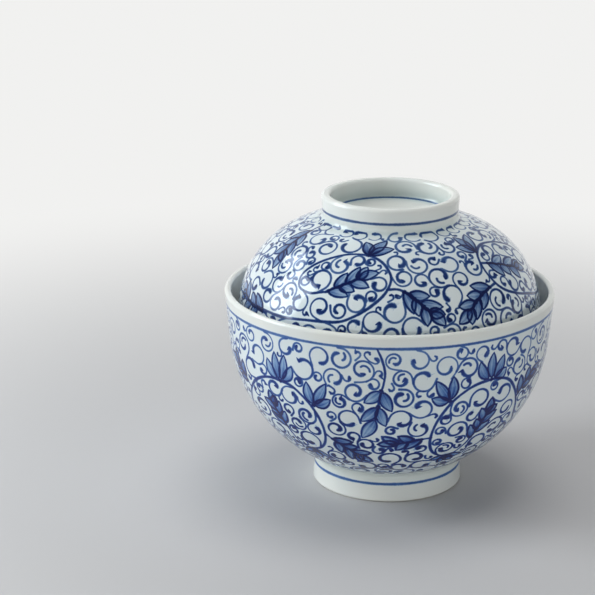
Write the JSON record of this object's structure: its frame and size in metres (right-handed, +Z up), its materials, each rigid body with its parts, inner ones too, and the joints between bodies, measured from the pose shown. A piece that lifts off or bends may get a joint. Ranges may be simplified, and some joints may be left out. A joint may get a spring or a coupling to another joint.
{
  "type": "chawanmushi cup with lid",
  "caption": "Round porcelain steaming cup on a foot ring, with a domed lid that sits inside the rim and lifts off by its ring.",
  "frame": {"origin": "centre of the foot ring's lower face, on the table", "axes": "+Z up along the axis on which cup and lid are turned, -Y towards the viewer of the picture"},
  "size_m": [0.112, 0.112, 0.1014],
  "materials": {
    "cup_glaze": "glossy clear glaze over a hand-painted cobalt scroll, bare foot edge",
    "lid_glaze": "glossy clear glaze over a hand-painted cobalt scroll"
  },
  "bodies": {
    "cup": {"cup": "cup_glaze"},
    "lid": {"lid": "lid_glaze"}
  },
  "joints": [
    {"name": "lid_lift", "type": "slide", "parent": "cup", "child": "lid", "axis": [0, 0, 1], "range_m": [0, 0.06]}
  ]
}
